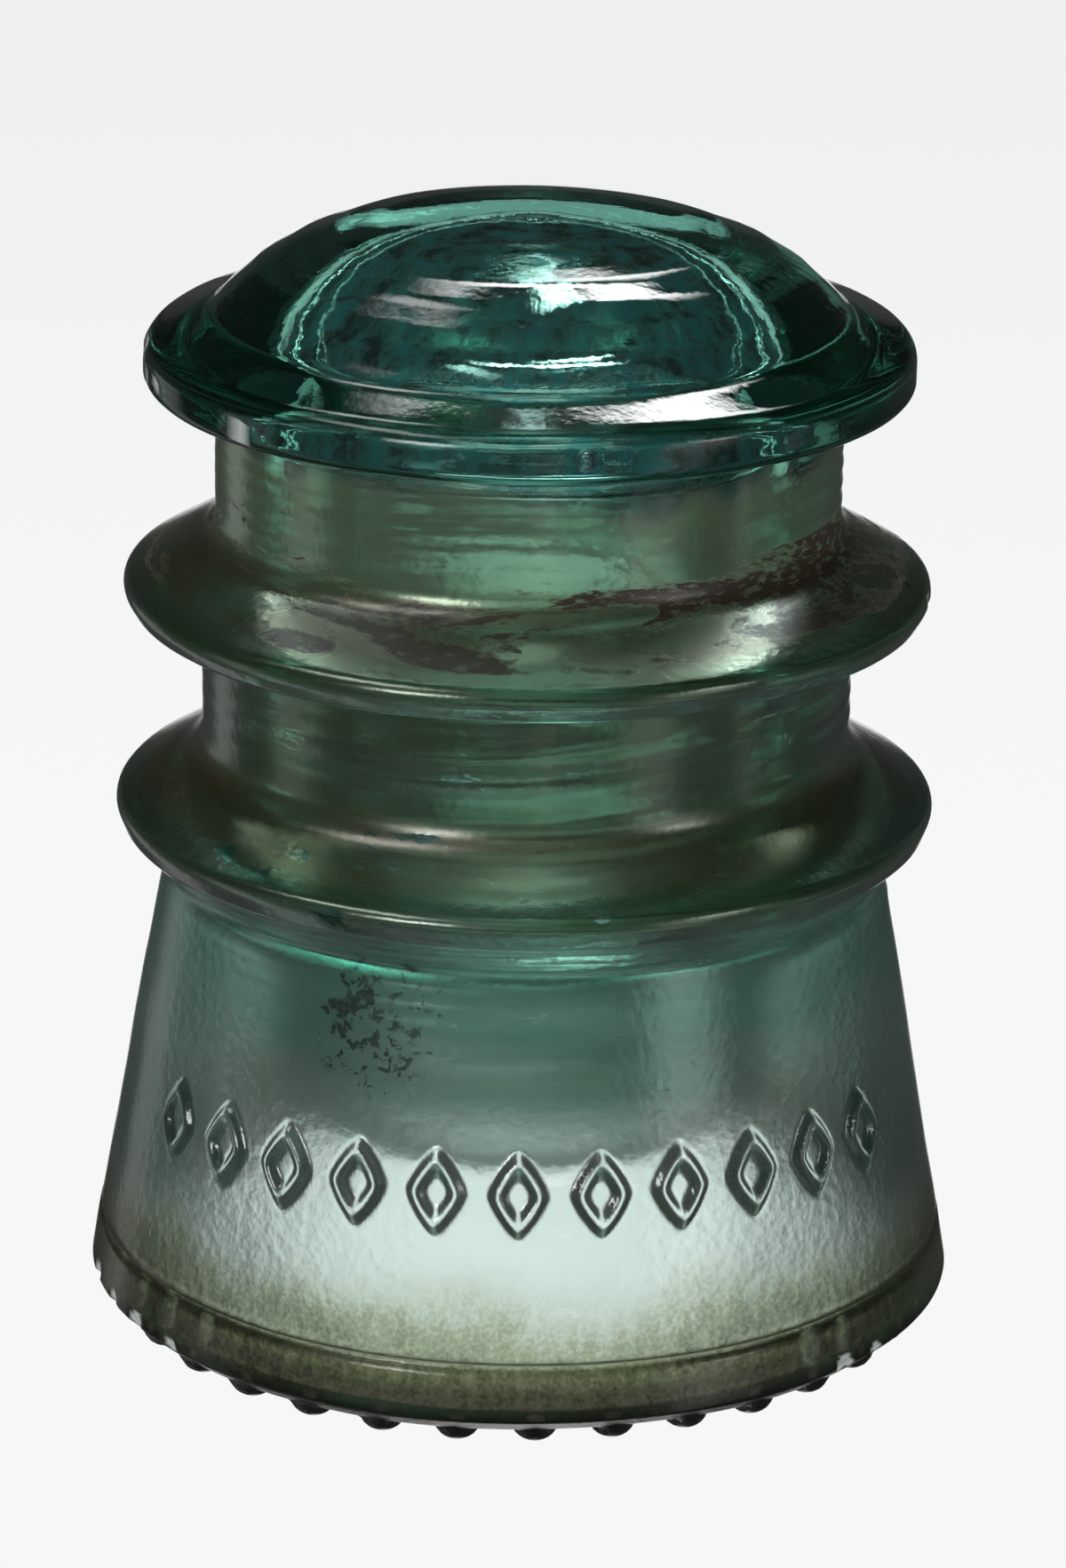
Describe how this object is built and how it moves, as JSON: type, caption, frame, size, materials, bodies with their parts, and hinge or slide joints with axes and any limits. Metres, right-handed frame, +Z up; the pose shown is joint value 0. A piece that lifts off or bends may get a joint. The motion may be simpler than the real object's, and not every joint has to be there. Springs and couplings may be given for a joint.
{
  "type": "pin insulator",
  "caption": "Glass pin insulator: domed crown, flanged wire grooves, flared hollow skirt with a beaded rim, and a threaded pinhole that screws onto a crossarm pin.",
  "frame": {"origin": "centre of the base, on the plane that the tips of the drip points rest on", "axes": "+Z up along the pinhole axis towards the crown; -Y is the side with the raised band; +X is to the right of it"},
  "size_m": [0.0742, 0.0742, 0.0953],
  "materials": {
    "glass": "polished blue-green pressed glass with a dark weathered film on the neck and skirt"
  },
  "bodies": {
    "root": {"glass_insulator": "glass"}
  },
  "joints": []
}
